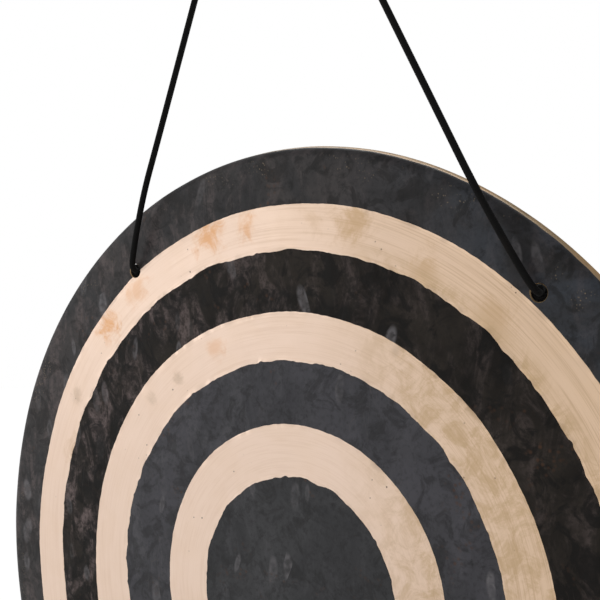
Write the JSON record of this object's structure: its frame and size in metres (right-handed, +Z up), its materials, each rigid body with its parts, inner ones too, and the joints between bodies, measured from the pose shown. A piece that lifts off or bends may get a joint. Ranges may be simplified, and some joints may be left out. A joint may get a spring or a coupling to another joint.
{
  "type": "tam tam gong",
  "caption": "Flat hammered bronze gong with dark and bright concentric rings and a short turned-back lip, hung by a black cord from a swivel ceiling hook.",
  "frame": {"origin": "middle of the mounting plate's upper face, which is screwed to a beam or stand", "axes": "+Z up; the gong's struck face looks along -Y; +X to the right when facing the struck face"},
  "size_m": [0.6119, 0.05, 0.905],
  "materials": {
    "gong_bronze": "black forge scale, lathe-scraped to bright bronze in three rings, bare at the lip",
    "black_cord": "braided black polyester",
    "zinc_steel": "zinc plated, satin",
    "washer_brass": "turned"
  },
  "bodies": {
    "mount": {"mounting_plate": "zinc_steel", "swivel_washer": "washer_brass"},
    "hook": {"swivel_hook": "zinc_steel"},
    "cord": {"hanging_cord": "black_cord"},
    "gong": {"gong_plate": "gong_bronze", "left_knot": "black_cord", "right_knot": "black_cord"}
  },
  "joints": [
    {"name": "hook_swivel", "type": "hinge", "parent": "mount", "child": "hook", "pos_m": [0, 0, -0.01], "axis": [0, 0, 1], "continuous": true},
    {"name": "hook_swing", "type": "hinge", "parent": "hook", "child": "cord", "pos_m": [0, 0, -0.026], "axis": [1, 0, 0], "range_deg": [-30, 30]},
    {"name": "gong_lean", "type": "hinge", "parent": "cord", "child": "gong", "pos_m": [0.02469, 0, -0.38451], "axis": [-0.9961, 0, 0.0879], "range_deg": [-5, 20]}
  ]
}
